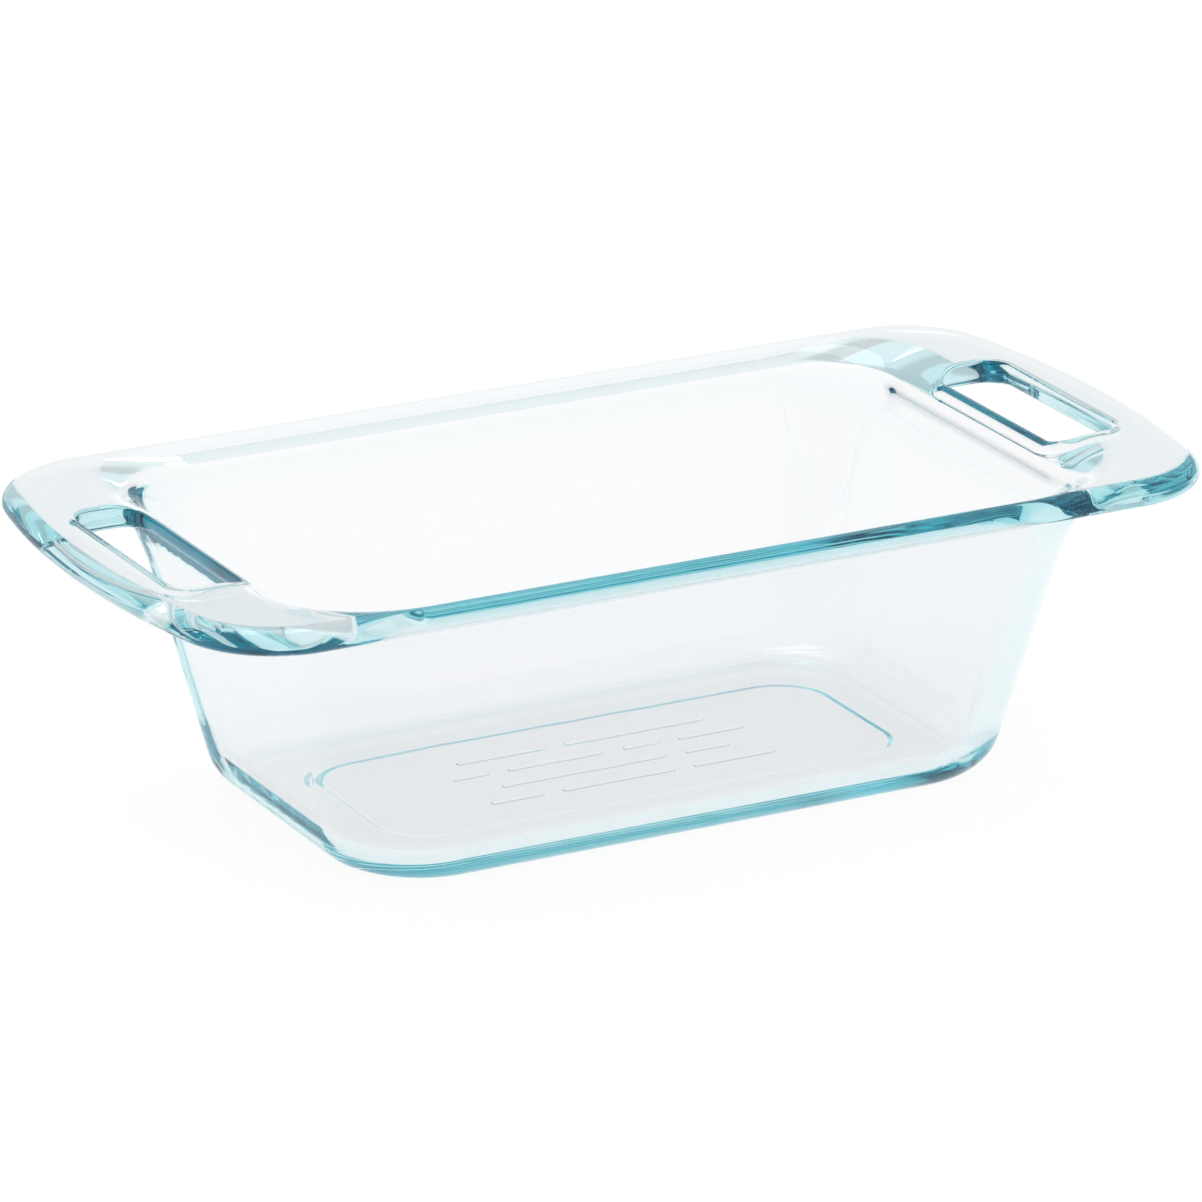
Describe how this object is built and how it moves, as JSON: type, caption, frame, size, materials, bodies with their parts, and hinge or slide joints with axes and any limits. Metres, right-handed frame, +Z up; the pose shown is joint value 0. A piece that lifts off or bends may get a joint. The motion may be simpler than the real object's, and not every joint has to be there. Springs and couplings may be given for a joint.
{
  "type": "glass loaf pan",
  "caption": "Clear pressed-glass loaf pan: drafted rectangular basin with a rounded rim, a flat foot and a slotted grab handle at each end.",
  "frame": {"origin": "centre of the footprint, on the table plane under the foot ring", "axes": "+X along the pan from handle to handle, +Y across it, +Z up out of the mouth of the basin"},
  "size_m": [0.275, 0.14, 0.076],
  "materials": {
    "glass": "fire-polished clear glass, faintly blue-green where it is thick"
  },
  "bodies": {
    "root": {"glass_dish": "glass"}
  },
  "joints": []
}
